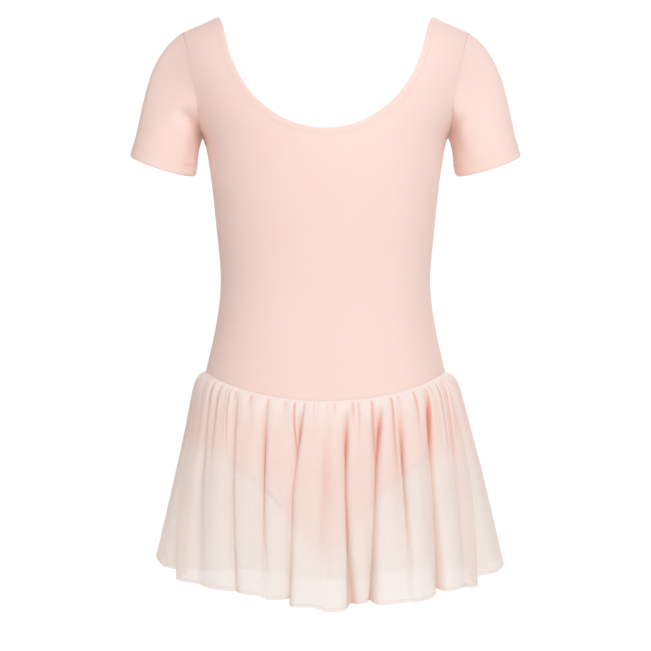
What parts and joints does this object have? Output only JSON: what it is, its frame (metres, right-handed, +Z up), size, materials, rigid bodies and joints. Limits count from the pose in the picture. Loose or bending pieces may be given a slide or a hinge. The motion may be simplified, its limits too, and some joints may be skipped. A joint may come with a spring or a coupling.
{
  "type": "ballet dress",
  "caption": "Girl's short-sleeved leotard dress with a wide scoop neck and a sheer gathered skirt on a dipped hip seam, in the hollow form it has when worn.",
  "frame": {"origin": "midway between the two shoulder seams, on the level where the straps rest on the wearer's shoulders", "axes": "+Z up, the front of the dress faces -Y, +X is the wearer's left"},
  "size_m": [0.3736, 0.2897, 0.5575],
  "materials": {
    "jersey": "fine stretch jersey, soft sheen",
    "chiffon": "sheer crepe chiffon"
  },
  "bodies": {
    "root": {"bodice_front": "jersey", "bodice_back": "jersey", "sleeve_left": "jersey", "sleeve_right": "jersey", "brief_front": "jersey", "brief_back": "jersey", "skirt_front": "chiffon", "skirt_back": "chiffon"}
  },
  "joints": []
}
